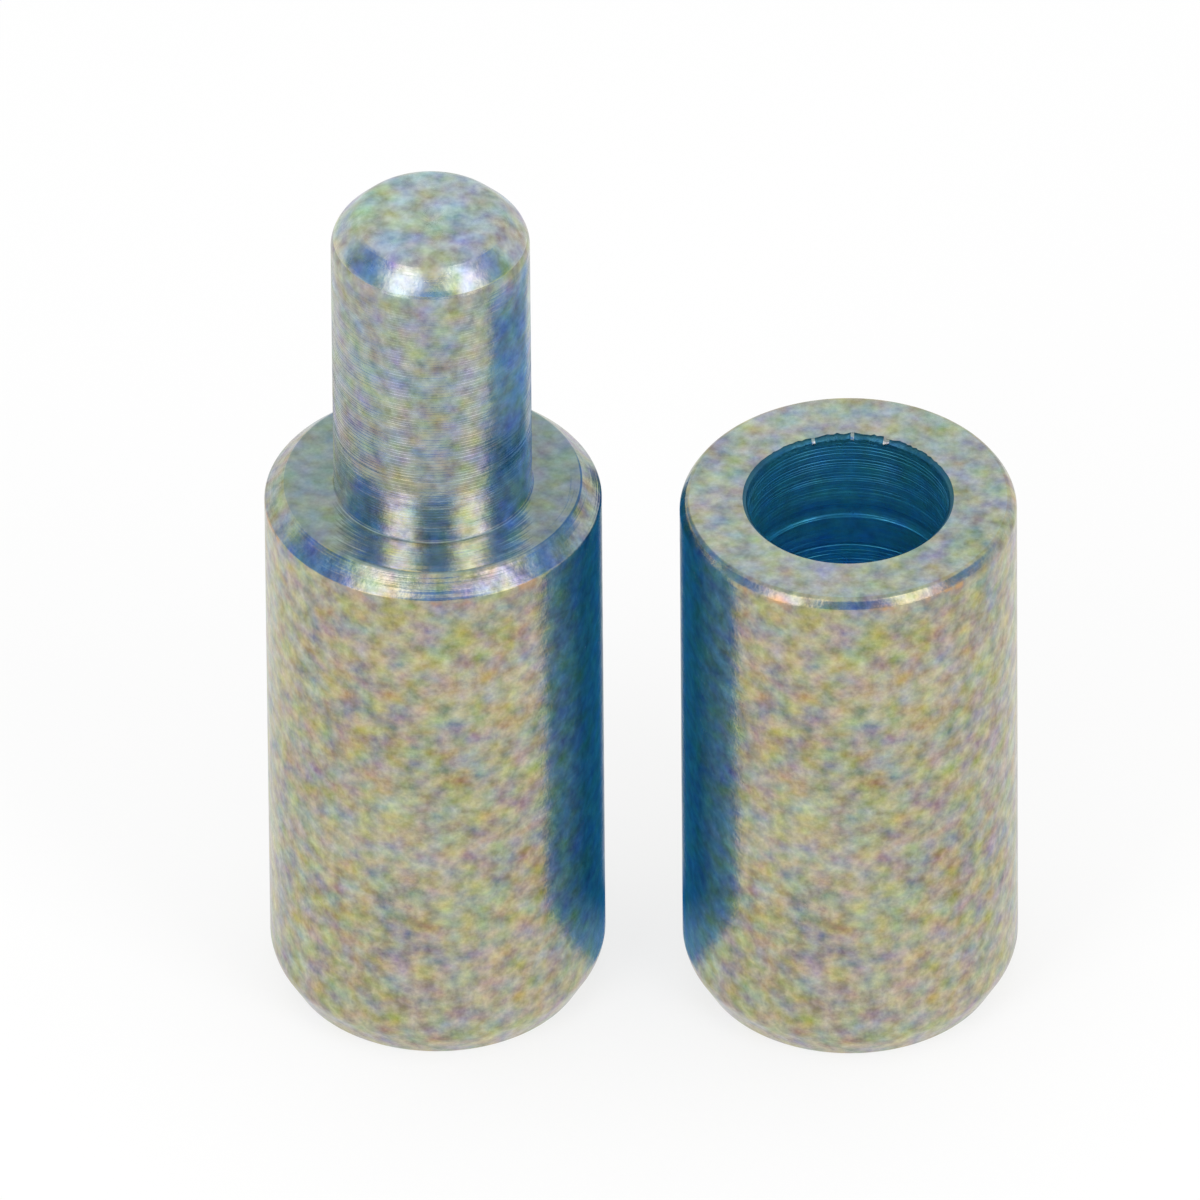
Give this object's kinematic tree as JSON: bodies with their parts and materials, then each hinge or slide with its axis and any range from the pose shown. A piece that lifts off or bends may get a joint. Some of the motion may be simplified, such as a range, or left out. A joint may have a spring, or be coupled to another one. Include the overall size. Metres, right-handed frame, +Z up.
{
  "type": "lift-off hinge",
  "caption": "Cylindrical weld-on lift-off hinge lifted apart: a turned steel knuckle with a pin and its socket knuckle with a blind bore.",
  "frame": {"origin": "centre of the pin knuckle's base face", "axes": "+Z up along the pin, towards its free end; +X from the pin knuckle towards the socket knuckle"},
  "size_m": [0.0379, 0.0174, 0.048],
  "materials": {
    "plated_steel": "turned steel with a thin iridescent zinc plating"
  },
  "bodies": {
    "pin_half": {"pin_knuckle": "plated_steel"},
    "socket_half": {"socket_knuckle": "plated_steel"}
  },
  "joints": [
    {"name": "socket_turn", "type": "hinge", "parent": "pin_half", "child": "socket_half", "pos_m": [0.0209, -0.00045, 0.012], "axis": [0, 0, 1], "continuous": true}
  ]
}
